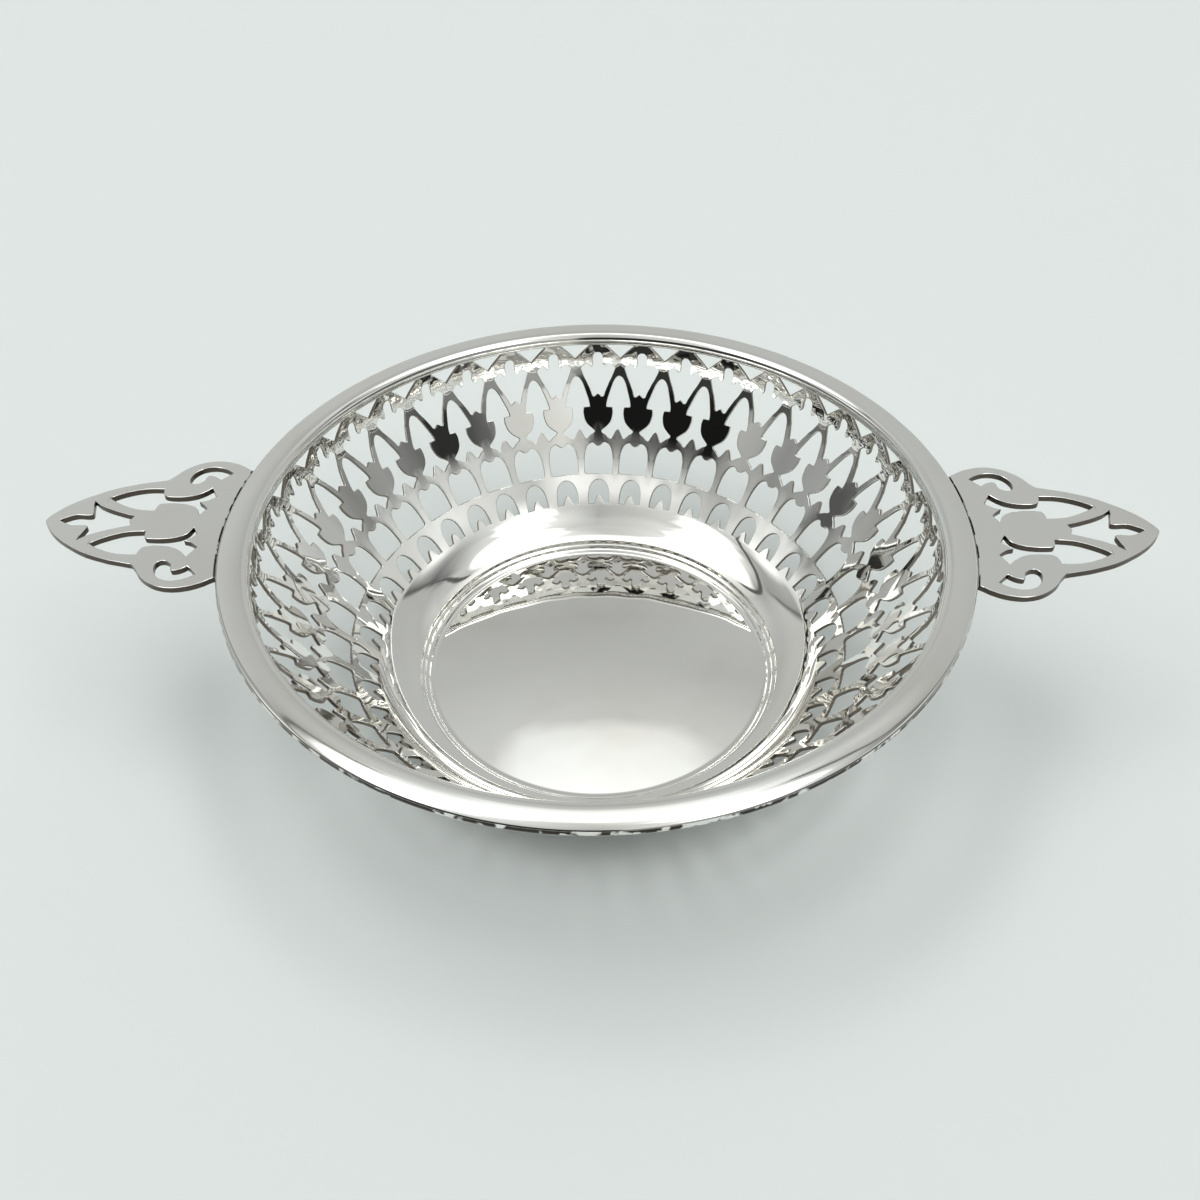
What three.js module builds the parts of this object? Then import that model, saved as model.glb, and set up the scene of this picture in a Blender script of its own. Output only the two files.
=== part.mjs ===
// Pierced silver bowl with two pierced handles, in millimetres, +Z up.
// The origin is on the axis of the bowl at the height of the surface it stands on.
import * as THREE from 'three';
import { mergeVertices } from 'three/addons/utils/BufferGeometryUtils.js';

// Whole bowl
const rimRadius = 57.5;
const sheet = 0.9; // thickness of the raised silver sheet
const solderGap = 0.3; // clearance left at every soldered seat
const standHeight = 2.7; // from the table up to the underside of the well

// Rim moulding
const rimWidth = 4.8;
const rimThickness = 1.2;
const rimShoulder = 1.8; // width of its round inner edge
const rimLip = 0.4; // how far the outer edge is turned down below the flat underside
const rimEdge = 0.7; // thickness of the edge that is turned down
const rimFacets = 64;

// Raised wall, followed down its inner face from the top edge
const lipOverhang = 0.3; // how far the rim stands in over the wall
const collarLength = 2; // upright stretch under the rim
const shoulderRadius = 10;
const wallSlope = radians(50); // of the straight pierced wall, above level
const piercedLength = 31; // along the sheet, from its top edge to the foot of the arches
const kneeRadius = 5;
const bandSlope = radians(25); // of the plain band round the base
const baseRadius = 30.2; // where the plain band ends at the step
const stepDepth = 1.65; // from the plain band down to the well
const stepWidth = 1.6;
const wellRise = 0.8; // how far the middle of the well stands above its edge

// Pierced pattern: equal repeats, each drawn flat and then fitted to its share of the wall
const repeats = 40;
const galleryTurn = radians(1.4); // how far the first urn stands round from the line of the handles

// Handles
const handleReach = 28.4; // from the rim to the tip
const handleWidth = 30.4; // across the two round lobes
const handleThickness = 1;
const handleDrop = 0.75; // of its upper face below the crown of the rim

// Foot ring
const footWall = 1.2;
const footFlare = 0.8; // how far the toe stands out from the top of the ring
const toeHeight = 0.8;
const coveDepth = 0.3; // how far the hollow above the toe goes in
const footFacets = 56;

// Sizes that follow from those above, heights first measured down from the crown of the rim
const wallRadius = rimRadius - rimWidth + lipOverhang; // inner face at the top edge
const wallTopDrop = rimThickness + solderGap;
const shoulderLength = shoulderRadius * (Math.PI / 2 - wallSlope);
const pitch = 2 * Math.PI / repeats;
const knee = wallPoint(piercedLength);
const kneeEnd = new THREE.Vector2(
    knee.x - kneeRadius * (Math.sin(wallSlope) - Math.sin(bandSlope)),
    knee.y - kneeRadius * (Math.cos(bandSlope) - Math.cos(wallSlope)));
const bandEnd = new THREE.Vector2(baseRadius, kneeEnd.y - (kneeEnd.x - baseRadius) * Math.tan(bandSlope));
const floorDrop = stepDepth - bandEnd.y;
const crownHeight = standHeight + sheet + floorDrop;

function radians(degrees) {
    return degrees * Math.PI / 180;
}

// How far the wall has turned in from upright, at a distance down the sheet
function wallTurn(along) {
    return THREE.MathUtils.clamp((along - collarLength) / shoulderRadius, 0, Math.PI / 2 - wallSlope);
}

// Point on the inner face of the collar, shoulder and straight wall, as radius and height
function wallPoint(along) {
    const turn = wallTurn(along);
    const upright = Math.min(along, collarLength);
    const straight = Math.max(along - collarLength - shoulderLength, 0);
    const inward = shoulderRadius * (1 - Math.cos(turn)) + straight * Math.cos(wallSlope);
    const down = upright + shoulderRadius * Math.sin(turn) + straight * Math.sin(wallSlope);
    return new THREE.Vector2(wallRadius - inward, -wallTopDrop - down);
}

// Direction out through the sheet at the same place
function wallNormal(along) {
    return new THREE.Vector2(Math.cos(wallTurn(along)), -Math.sin(wallTurn(along)));
}

function around(point, angle) {
    return new THREE.Vector3(point.x * Math.cos(angle), point.x * Math.sin(angle), crownHeight + point.y);
}

// Bends a point of the flat drawing, whose own size is given, onto the wall at a depth into the sheet
function onWall(flat, size, turn, depth) {
    const along = flat.y / size.y * piercedLength;
    const point = wallPoint(along).addScaledVector(wallNormal(along), depth);
    return around(point, turn + flat.x / size.x * pitch);
}

function mirrored(points) {
    return points.map((p) => new THREE.Vector2(-p.x, p.y)).reverse();
}

// A closed opening from its right half, whose first and last points may lie on the centre line
function wholeOpening(half) {
    const left = mirrored(half).filter((p) => Math.abs(p.x) > 1e-6);
    return half.concat(left);
}

// Right edge of one repeat, drawn 9 degrees wide and 31 mm long about the axis of an urn:
// half a triangle, then half a lancet over the shoulder of the urn
function sideOutline() {
    const edge = 4.5;
    const path = new THREE.Path();
    path.moveTo(edge, 0);
    path.lineTo(edge, 0.6);
    path.lineTo(1.75, 0.6);
    path.lineTo(edge, 3.55);
    path.lineTo(edge, 6.85);
    path.quadraticCurveTo(3.5, 6.95, 2.62, 9.6);
    path.lineTo(1.9, 12.6);
    path.lineTo(3.2, 12.62);
    path.quadraticCurveTo(3.85, 14.4, 2.6, 15.9);
    path.quadraticCurveTo(1.6, 16.6, 0.9, 17.25);
    path.lineTo(2.8, 18.5);
    path.quadraticCurveTo(3.55, 18.3, edge, 16.75);
    path.lineTo(edge, 31);
    return path.getPoints(2);
}

// Opening shaped as a round-headed flower between two barbs, over the mouth of the urn
function fleurOpening() {
    const path = new THREE.Path();
    path.moveTo(0, 2.3);
    path.quadraticCurveTo(0.95, 2.3, 1.08, 3.7);
    path.lineTo(1.3, 5.2);
    path.quadraticCurveTo(2.05, 3.8, 3.5, 5.4);
    path.quadraticCurveTo(2.1, 8.3, 1.25, 10.4);
    path.lineTo(0.85, 10.65);
    path.lineTo(0, 10.1);
    return wholeOpening(path.getPoints(2));
}

// Opening under the urn, with a round drop hanging into its head
function windowOpening() {
    const path = new THREE.Path();
    path.moveTo(0, 19.93);
    path.lineTo(1.4, 19.28);
    path.quadraticCurveTo(3.2, 19.3, 3.6, 21.7);
    path.lineTo(3.87, 25.4);
    return wholeOpening(path.getPoints(2));
}

// Round arch at the foot of the pattern, with a dart standing in it
function archOpening() {
    const path = new THREE.Path();
    path.moveTo(0, 25.95);
    path.quadraticCurveTo(2.6, 25.95, 3.2, 28.6);
    path.lineTo(3.5, 30.7);
    path.lineTo(1.35, 30.7);
    path.lineTo(0, 29.1);
    return wholeOpening(path.getPoints(2));
}

// Edges where one repeat meets the next, or the plain part of the bowl
function isBorder(a, b, size) {
    const side = Math.abs(Math.abs(a.x) - size.x / 2) < 1e-6 && Math.abs(a.x - b.x) < 1e-6;
    const foot = Math.abs(a.y - size.y) < 1e-6 && Math.abs(b.y - size.y) < 1e-6;
    return side || foot;
}

function addFace(corners, a, b, c) {
    corners.push(a.x, a.y, a.z, b.x, b.y, b.z, c.x, c.y, c.z);
}

function area(a, b, c) {
    return (b.x - a.x) * (c.y - a.y) - (c.x - a.x) * (b.y - a.y);
}

function insideCircle(a, b, c, d) {
    const [p, q, r] = [a, b, c].map((corner) => corner.clone().sub(d));
    return p.lengthSq() * area({ x: 0, y: 0 }, q, r)
        - q.lengthSq() * area({ x: 0, y: 0 }, p, r)
        + r.lengthSq() * area({ x: 0, y: 0 }, p, q) > 1e-6;
}

// Turns shared edges of neighbouring triangles until none is needlessly long, so that they bend well
function evenOut(faces, flat, size) {
    const across = (wallRadius + knee.x) / 2 * pitch / size.x;
    const down = piercedLength / size.y;
    const points = flat.map((p) => new THREE.Vector2(p.x * across, p.y * down));
    const turnOne = () => {
        const opposite = new Map();
        faces.forEach(([a, b, c], face) => {
            opposite.set(`${a} ${b}`, [face, c]);
            opposite.set(`${b} ${c}`, [face, a]);
            opposite.set(`${c} ${a}`, [face, b]);
        });
        for (const [edge, [face, c]] of opposite) {
            const [a, b] = edge.split(' ').map(Number);
            const [other, d] = opposite.get(`${b} ${a}`) ?? [];
            if (d === undefined || !insideCircle(points[a], points[b], points[c], points[d])) {
                continue;
            }
            const areas = [area(points[a], points[d], points[c]), area(points[d], points[b], points[c])];
            if (Math.min(...areas) > 1e-6) {
                faces[face] = [a, d, c];
                faces[other] = [d, b, c];
                return true;
            }
        }
        return false;
    };
    while (turnOne());
    return faces;
}

// The flat drawing of one repeat: its outline, its three whole openings and the triangles between them
function drawPattern() {
    const right = sideOutline();
    let outline = right.concat(mirrored(right));
    if (THREE.ShapeUtils.isClockWise(outline)) {
        outline = outline.reverse();
    }
    const holes = [fleurOpening(), windowOpening(), archOpening()];
    for (const hole of holes) {
        if (!THREE.ShapeUtils.isClockWise(hole)) {
            hole.reverse();
        }
    }
    const flat = outline.concat(...holes);
    const size = new THREE.Box2().setFromPoints(outline).getSize(new THREE.Vector2());
    const faces = evenOut(THREE.ShapeUtils.triangulateShape(outline, holes), flat, size);
    return { loops: [outline, ...holes], flat, size, faces };
}

// One repeat of the pierced wall: both faces of the sheet and the cut edges between them
function addRepeat(corners, { loops, flat, size, faces }, turn) {
    const inner = flat.map((p) => onWall(p, size, turn, 0));
    const outer = flat.map((p) => onWall(p, size, turn, sheet));
    for (const [a, b, c] of faces) {
        addFace(corners, inner[a], inner[b], inner[c]);
        addFace(corners, outer[c], outer[b], outer[a]);
    }
    let start = 0;
    for (const loop of loops) {
        for (let i = 0; i < loop.length; i++) {
            const a = start + i;
            const b = start + (i + 1) % loop.length;
            if (!isBorder(flat[a], flat[b], size)) {
                addFace(corners, outer[a], outer[b], inner[b]);
                addFace(corners, outer[a], inner[b], inner[a]);
            }
        }
        start += loop.length;
    }
}

// Inner face below the pattern: knee, plain band, two small steps and the well
function innerBase() {
    const middle = (wallSlope + bandSlope) / 2;
    const kneeMiddle = new THREE.Vector2(
        knee.x - kneeRadius * (Math.sin(wallSlope) - Math.sin(middle)),
        knee.y - kneeRadius * (Math.cos(middle) - Math.cos(wallSlope)));
    return [
        knee,
        kneeMiddle,
        kneeEnd,
        bandEnd,
        new THREE.Vector2(baseRadius - stepWidth * 0.2, bandEnd.y - stepDepth * 0.42),
        new THREE.Vector2(baseRadius - stepWidth * 0.75, bandEnd.y - stepDepth * 0.55),
        new THREE.Vector2(baseRadius - stepWidth, -floorDrop),
    ];
}

// Outer face below the pattern, one sheet thickness outside the inner one
function outerBase() {
    const start = knee.clone().addScaledVector(wallNormal(piercedLength), sheet);
    const bandNormal = new THREE.Vector2(Math.sin(bandSlope), -Math.cos(bandSlope));
    const seat = sheet * 0.78;
    return [
        start,
        kneeEnd.clone().addScaledVector(bandNormal, sheet),
        new THREE.Vector2(baseRadius + seat, bandEnd.y + seat * Math.tan(bandSlope) - sheet / Math.cos(bandSlope)),
        new THREE.Vector2(baseRadius + sheet * 0.4, bandEnd.y - stepDepth * 0.55 - sheet * 0.7),
        new THREE.Vector2(baseRadius - stepWidth + sheet * 0.6, -floorDrop - sheet),
    ];
}

// Turns an outline round the axis in flats that meet the repeats, and closes it on the axis
function addBase(corners, outline, facing) {
    for (let i = 0; i < repeats; i++) {
        const from = galleryTurn + (i - 0.5) * pitch;
        const to = from + pitch;
        for (let j = 0; j < outline.length; j++) {
            const a = around(outline[j], from);
            const b = around(outline[j], to);
            const next = outline[j + 1] ?? new THREE.Vector2(0, outline[j].y + wellRise);
            const c = around(next, to);
            const d = around(next, from);
            const faces = next.x > 0 ? [[a, b, c], [a, c, d]] : [[a, b, c]];
            for (const [p, q, r] of faces) {
                if (facing === 'inside') {
                    addFace(corners, p, q, r);
                } else {
                    addFace(corners, r, q, p);
                }
            }
        }
    }
}

function bowlBody() {
    const corners = [];
    const pattern = drawPattern();
    for (let i = 0; i < repeats; i++) {
        addRepeat(corners, pattern, galleryTurn + i * pitch);
    }
    addBase(corners, innerBase(), 'inside');
    addBase(corners, outerBase(), 'outside');
    const geometry = new THREE.BufferGeometry();
    geometry.setAttribute('position', new THREE.Float32BufferAttribute(corners, 3));
    const closed = mergeVertices(geometry, 1e-4);
    closed.computeVertexNormals();
    return closed;
}

// Revolves a closed section given as radius and height about the upright axis
function ring(section, facets) {
    const closed = section.concat([section[0].clone()]);
    const geometry = new THREE.LatheGeometry(closed, facets);
    geometry.rotateX(Math.PI / 2);
    return geometry;
}

// Drawn wire: flat above with a round inner shoulder, flat below, its outer edge turned down
function rimMoulding() {
    const inside = rimRadius - rimWidth;
    const under = crownHeight - rimThickness;
    return ring([
        new THREE.Vector2(inside, under),
        new THREE.Vector2(rimRadius - rimEdge * 1.3, under),
        new THREE.Vector2(rimRadius - rimEdge, under - rimLip),
        new THREE.Vector2(rimRadius, under - rimLip),
        new THREE.Vector2(rimRadius, crownHeight - rimThickness * 0.2),
        new THREE.Vector2(rimRadius - rimWidth * 0.3, crownHeight),
        new THREE.Vector2(inside + rimShoulder, crownHeight),
        new THREE.Vector2(inside + rimShoulder * 0.35, crownHeight - rimThickness * 0.3),
        new THREE.Vector2(inside + rimShoulder * 0.05, crownHeight - rimThickness * 0.72),
    ], rimFacets);
}

// Collet under the plain band, with a cove and a turned-out toe
function footRing() {
    const seat = outerBase()[2];
    const inside = seat.x + solderGap;
    const outside = inside + footWall;
    const clearance = solderGap / Math.cos(bandSlope);
    const seatHeight = (radius) => crownHeight + seat.y + (radius - seat.x) * Math.tan(bandSlope) - clearance;
    return ring([
        new THREE.Vector2(inside, 0),
        new THREE.Vector2(outside + footFlare, 0),
        new THREE.Vector2(outside + footFlare, toeHeight),
        new THREE.Vector2(outside - coveDepth / 3, toeHeight * 2),
        new THREE.Vector2(outside - coveDepth, seatHeight(outside) * 0.66),
        new THREE.Vector2(outside, seatHeight(outside)),
        new THREE.Vector2(inside, seatHeight(inside)),
    ], footFacets);
}

// Follows quadratic curves, given as control and end, and straight lines, given as their end alone
function drawRun(start, runs, divisions) {
    const path = new THREE.Path();
    path.moveTo(...start);
    for (const run of runs) {
        if (run.length === 4) {
            path.quadraticCurveTo(...run);
        } else {
            path.lineTo(...run);
        }
    }
    return path.getPoints(divisions);
}

// Half outline of the handle, drawn from the rim outwards and across from its centre line:
// a round lobe against the rim, a cusp, then a long side to the tip
function handleSide() {
    return drawRun([-1.1, 12.7], [
        [1.6, 15.2, 4.8, 15.2],
        [9.4, 15.1, 12, 10.1],
        [17, 9.3, 21.5, 6.9],
        [26, 4.2, 28.4, 0],
    ], 4);
}

function scrollOpening() {
    return drawRun([1.8, 12.1], [
        [5.2, 15.2, 7.6, 12.4],
        [9.3, 9.8, 7.2, 9.2],
        [5.8, 9.5, 5.9, 10.8],
        [4.9, 12.1, 3.4, 10.3],
    ], 3);
}

// Long pointed opening that steps into a curved slot with a forked end toward the rim
function lancetOpening() {
    return drawRun([19.9, 5.5], [
        [16.4, 2.6, 12, 2.5],
        [11.8, 4],
        [7.6, 5.1, 4.7, 1.5],
        [3.8, 3.1],
        [5.4, 4.65],
        [3.1, 6],
        [4.2, 8.15],
        [7, 5.1, 11.4, 6.1],
        [11.9, 7.8],
        [16.4, 8.1, 19.9, 5.5],
    ], 3);
}

// Opening like an open tulip, its long petal pointing at the tip of the handle
function tulipOpening() {
    const half = drawRun([15.2, 0], [
        [14.8, 1.05],
        [18.8, 2.1, 22.1, 4.65],
        [21.1, 2.6, 21.5, 1.25],
        [24, 1.7, 26.2, 0],
    ], 3);
    return half.concat(otherSide(half.slice(1, -1)).reverse());
}

function otherSide(points) {
    return points.map((p) => new THREE.Vector2(p.x, -p.y));
}

// Closes the two sides of the handle with an arc that follows the rim
function handleOutline(side) {
    const seatRadius = rimRadius + solderGap;
    const seatAngle = Math.asin(side[0].y / seatRadius);
    side[0].x = seatRadius * Math.cos(seatAngle);
    const seat = [];
    const steps = 8;
    for (let i = 1; i < steps; i++) {
        const angle = seatAngle * (1 - 2 * i / steps);
        seat.push(new THREE.Vector2(seatRadius * Math.cos(angle), seatRadius * Math.sin(angle)));
    }
    return otherSide(side).concat(side.slice(0, -1).reverse(), seat);
}

// The flat pierced plate, fitted from its drawing to its real reach and width
function handle() {
    const drawnSide = handleSide();
    const drawn = new THREE.Box2().setFromPoints(drawnSide).max;
    const reach = handleReach / drawn.x;
    const spread = handleWidth / 2 / drawn.y;
    const fitted = (points) => points.map((p) => new THREE.Vector2(rimRadius + p.x * reach, p.y * spread));
    const shape = new THREE.Shape(handleOutline(fitted(drawnSide)));
    for (const opening of [scrollOpening(), lancetOpening()]) {
        const points = fitted(opening);
        shape.holes.push(new THREE.Path(points));
        shape.holes.push(new THREE.Path(otherSide(points)));
    }
    shape.holes.push(new THREE.Path(fitted(tulipOpening())));
    return new THREE.ExtrudeGeometry(shape, { depth: handleThickness, bevelEnabled: false });
}

function silver(roughness) {
    return new THREE.MeshStandardMaterial({ color: 0xe4e3df, metalness: 1, roughness });
}

function piece(name, geometry, roughness) {
    const mesh = new THREE.Mesh(geometry, silver(roughness));
    mesh.name = name;
    return mesh;
}

const bowl = new THREE.Group();
bowl.add(piece('bowl_body', bowlBody(), 0.12));
bowl.add(piece('rim_moulding', rimMoulding(), 0.16));
bowl.add(piece('foot_ring', footRing(), 0.16));
for (const [name, turn] of [['handle_right', 0], ['handle_left', Math.PI]]) {
    const plate = piece(name, handle(), 0.16);
    plate.position.z = crownHeight - handleDrop - handleThickness;
    plate.rotation.z = turn;
    bowl.add(plate);
}

export default bowl;
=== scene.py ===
"""Pierced silver bowl with two pierced handles: its fine shapes, its silver and a pale studio."""

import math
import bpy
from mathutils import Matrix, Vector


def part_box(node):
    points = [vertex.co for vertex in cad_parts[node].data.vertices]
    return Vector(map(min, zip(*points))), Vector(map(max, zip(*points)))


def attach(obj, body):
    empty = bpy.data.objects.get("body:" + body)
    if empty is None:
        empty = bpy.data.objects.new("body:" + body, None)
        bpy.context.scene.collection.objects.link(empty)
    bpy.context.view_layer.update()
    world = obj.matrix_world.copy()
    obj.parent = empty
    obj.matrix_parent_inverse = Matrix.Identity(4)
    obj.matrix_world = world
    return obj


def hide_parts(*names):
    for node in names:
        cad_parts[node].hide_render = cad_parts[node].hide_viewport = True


bl_info = {
    "name": "Pierced silver bowl",
    "version": (1, 0, 0),
    "blender": (4, 5, 0),
    "location": "3D View > Sidebar > Silver bowl",
    "description": "Builds the pierced bowl, its rim, foot and handles, and a pale studio round it",
    "category": "Object",
}

import bmesh
import bpy
from bpy.props import FloatProperty, FloatVectorProperty, IntProperty, PointerProperty
from mathutils import Matrix, Vector
from mathutils.geometry import interpolate_bezier

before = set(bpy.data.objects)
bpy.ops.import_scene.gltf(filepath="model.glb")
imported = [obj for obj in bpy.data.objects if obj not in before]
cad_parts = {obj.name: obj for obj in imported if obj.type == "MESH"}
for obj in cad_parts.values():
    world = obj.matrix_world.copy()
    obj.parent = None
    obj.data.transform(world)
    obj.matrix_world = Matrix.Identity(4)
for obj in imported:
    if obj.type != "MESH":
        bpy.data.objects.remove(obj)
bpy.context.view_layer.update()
RIM_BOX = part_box("rim_moulding")
HANDLE_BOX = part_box("handle_right")

MM = 0.001

# How near points lie, in millimetres, to count as one: at a cut, on a plane, on a drawn line and at a weld
CUT_GAP = 1e-5
PLANE_GAP = 1e-4
LINE_GAP = 1e-3
WELD_GAP = 2e-3

# Drawings

# Lengths are in millimetres. An outline is a chain of smooth curves that meet at corners. ROUND marks an end
# on a mirror line that the whole curve crosses square, so that no corner shows there.
ROUND = "round"

# Half of one repeat of the pierced wall: degrees across from the axis of an urn, and millimetres down the
# sheet. It runs down the axis of the urn, x = 0, and back up the axis of the lancet, x = 4.5.
HALF_REPEAT = (
    ((4.5, 0.0), (0.0, 0.0)),
    ((0.0, 0.0), (0.0, 2.3)),
    # flower-shaped opening: round head, barb, shoulder, down to the mouth of the urn
    (ROUND, (0.0, 2.3), (0.55, 2.45), (0.92, 3.0), (1.0, 3.8), (0.97, 4.6), (1.32, 5.15), (1.6, 5.05),
     (1.85, 4.7), (2.25, 4.48), (2.75, 4.65), (3.2, 5.0), (3.5, 5.4)),
    ((3.5, 5.4), (3.35, 5.9), (2.85, 7.0), (2.3, 8.0), (1.8, 9.0), (1.45, 9.8), (1.3, 10.3),
     (1.05, 10.6), (0.75, 10.6), (0.4, 10.35), (0.0, 10.1), ROUND),
    ((0.0, 10.1), (0.0, 19.93)),
    # window, with a round drop hanging into its head
    (ROUND, (0.0, 19.93), (0.5, 19.85), (1.0, 19.5), (1.45, 19.28), (2.2, 19.5), (2.75, 19.9),
     (3.15, 20.6), (3.4, 21.3), (3.55, 22.1), (3.64, 23.0), (3.68, 24.0), (3.62, 24.7)),
    ((3.62, 24.7), (3.5, 25.0), (3.15, 25.15)),
    # its foot is cut a little unevenly
    ((3.15, 25.15), (2.6, 25.22), (1.9, 25.13), (1.3, 25.22), (0.6, 25.14), (0.0, 25.2), ROUND),
    ((0.0, 25.2), (0.0, 26.25)),
    # arch, with a dart standing in it
    (ROUND, (0.0, 26.25), (0.9, 26.4), (1.75, 26.85), (2.3, 27.4), (2.68, 28.1), (2.9, 28.9),
     (3.02, 29.8), (3.05, 30.8)),
    ((3.05, 30.8), (1.45, 30.8)),
    ((1.45, 30.8), (0.95, 30.0), (0.5, 29.4), (0.0, 29.2), ROUND),
    ((0.0, 29.2), (0.0, 31.0)),
    ((0.0, 31.0), (4.5, 31.0)),
    ((4.5, 31.0), (4.5, 16.75)),
    # lancet: two feet, the neck and the round side of the urn, its shoulder, and the pointed head
    (ROUND, (4.5, 16.75), (4.3, 16.8), (3.95, 17.15), (3.55, 17.8), (3.15, 18.4), (2.8, 18.5),
     (2.3, 18.2), (1.7, 17.75), (1.15, 17.5), (0.85, 17.2), (0.95, 16.95), (1.55, 16.55), (2.3, 16.0),
     (2.82, 15.4), (3.15, 14.7), (3.33, 13.8), (3.31, 13.2), (3.2, 12.62)),
    ((3.2, 12.62), (1.9, 12.55)),
    ((1.9, 12.55), (1.9, 12.0), (2.1, 11.2), (2.45, 10.2), (2.8, 9.2), (3.18, 8.2), (3.52, 7.6),
     (3.95, 7.1), (4.5, 6.88), ROUND),
    ((4.5, 6.88), (4.5, 3.55)),
    # triangle under the top edge
    ((4.5, 3.55), (1.75, 1.0)),
    ((1.75, 1.0), (1.62, 0.75), (1.85, 0.6)),
    ((1.85, 0.6), (4.5, 0.6)),
    ((4.5, 0.6), (4.5, 0.0)),
)
REPEAT_DEGREES = 9.0
REPEAT_LENGTH = 31.0
# The flat wall is cut into cells so that it can bend: across, in the steps in which the base is turned, and
# down, closest where the shoulder bends
CELLS_ACROSS = 8
CELL_COLUMNS = [REPEAT_DEGREES / CELLS_ACROSS * i for i in (1, 2, 3)]
CELL_ROWS = [2 + 0.875 * i for i in range(9)] + [11.3, 15, 19, 22.5, 25.7, 28.5]

# Half of a handle, from the centre line up: out from the rim and across
HALF_HANDLE = (
    ((-1.1, 12.75), (0.2, 13.8), (2.16, 14.76), (4.62, 15.2), (7.1, 14.76), (9.05, 13.6), (10.3, 12.36),
     (11.1, 11.1), (12.0, 10.1)),
    ((12.0, 10.1), (14.0, 9.63), (15.9, 9.2), (17.9, 8.53), (19.9, 7.76), (21.8, 6.7), (23.8, 5.37),
     (25.8, 3.74), (27.25, 2.1), (28.1, 0.77), (28.4, 0.0), ROUND),
    ((28.4, 0.0), (26.2, 0.0)),
    # tulip, cut through by the centre line
    ((26.2, 0.0), (25.0, 0.77), (23.8, 1.25), (22.3, 1.15), (21.5, 1.29), (21.45, 1.92), (21.8, 3.26),
     (22.1, 4.65)),
    ((22.1, 4.65), (20.9, 3.6), (18.9, 2.54), (16.9, 1.77), (14.76, 1.05)),
    ((14.76, 1.05), (15.0, 0.6), (15.25, 0.0), ROUND),
)
HANDLE_OPENINGS = (
    # scroll
    (((1.77, 12.07), (2.66, 12.75), (4.1, 13.4), (5.6, 13.5), (7.1, 12.94), (8.07, 11.7), (8.36, 10.35),
      (8.07, 9.49), (7.4, 9.2), (6.6, 9.49), (6.0, 10.06), (5.9, 10.73), (5.6, 11.3), (4.9, 11.3),
      (4.1, 10.92), (3.44, 10.35)),
     ((3.44, 10.35), (2.75, 11.02)),
     ((2.75, 11.02), (1.77, 12.07))),
    # long opening, stepping into a curved slot with a forked end
    (((19.87, 5.46), (18.5, 4.41), (15.9, 3.11), (14.0, 2.64), (12.0, 2.51)),
     ((12.0, 2.51), (11.9, 3.45), (11.6, 4.07), (11.0, 4.26), (9.5, 4.31), (8.1, 4.2), (6.6, 3.83),
      (5.3, 2.97), (4.7, 1.53)),
     ((4.7, 1.53), (3.8, 3.07)),
     ((3.8, 3.07), (4.5, 3.9), (5.4, 4.65)),
     ((5.4, 4.65), (4.3, 5.0), (3.05, 5.99)),
     ((3.05, 5.99), (4.2, 8.15)),
     ((4.2, 8.15), (5.1, 7.19), (6.4, 6.32), (8.1, 5.85), (10.0, 5.8), (11.3, 6.13), (11.75, 6.9),
      (11.9, 7.81)),
     ((11.9, 7.81), (14.0, 7.81), (15.9, 7.47), (17.9, 6.7), (19.2, 5.94), (19.87, 5.46))),
)

# The ends of the handles and their solder lie so far outside the rim
SEAT_GAP = 0.12
# Side of the cells into which a handle's flat plate is cut
HANDLE_CELL = 2.0

# Section of the rim, radius and height from its crown: the bead under it, the round inner shoulder, the flat
# top, the turned-down edge and the flat underside
RIM_SECTION = (
    ((53.0, -2.02), (52.82, -2.0), (52.7, -1.85), (52.68, -1.65), (52.76, -1.48)),
    ((52.76, -1.48), (52.71, -1.25), (52.74, -0.95), (52.88, -0.6), (53.15, -0.3), (53.55, -0.11),
     (54.05, -0.03), (54.7, -0.01), (55.4, -0.03), (56.1, -0.09), (56.7, -0.19), (57.15, -0.33),
     (57.4, -0.54), (57.48, -0.8), (57.48, -1.12), (57.41, -1.42), (57.2, -1.58), (56.95, -1.6),
     (56.78, -1.45), (56.65, -1.25)),
    ((56.65, -1.25), (54.6, -1.2), (54.15, -1.26), (53.9, -1.5)),
    ((53.9, -1.5), (53.0, -1.5)),
    ((53.0, -1.5), (53.0, -2.02)),
)

# Section of the foot ring, radius and height above the table
FOOT_SECTION = (
    ((31.2, 0.25), (31.27, 0.07), (31.45, 0.0)),
    ((31.45, 0.0), (32.9, 0.0)),
    ((32.9, 0.0), (33.12, 0.1), (33.2, 0.35), (33.15, 0.62), (32.98, 0.8)),
    ((32.98, 0.8), (32.72, 0.9)),
    ((32.72, 0.9), (32.42, 1.4), (32.2, 2.2), (32.12, 3.1), (32.2, 4.1), (32.42, 4.9), (32.75, 5.5)),
    ((32.75, 5.5), (31.9, 5.13), (31.2, 4.92)),
    ((31.2, 4.92), (31.2, 0.25)),
)

# Section of the two small rounded steps: shares of their width, inward, and of their depth, down
STEP_SECTION = (
    (0.0, 0.0), (0.06, 0.12), (0.08, 0.3), (0.14, 0.41), (0.26, 0.42), (0.38, 0.44), (0.47, 0.52),
    (0.5, 0.66), (0.54, 0.78), (0.64, 0.8), (0.78, 0.82), (0.9, 0.88), (0.97, 0.97), (1.03, 1.0),
)
# Shares of the well's radius at which it has a ring of points, and up to which its middle is domed
WELL_RINGS = (0.97, 0.85, 0.72, 0.67, 0.6, 0.5, 0.35, 0.2, 0.0)
WELL_DOME = 0.67
# Points along the arc of the plain band
BAND_POINTS = 12

# Plan of the tent

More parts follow.
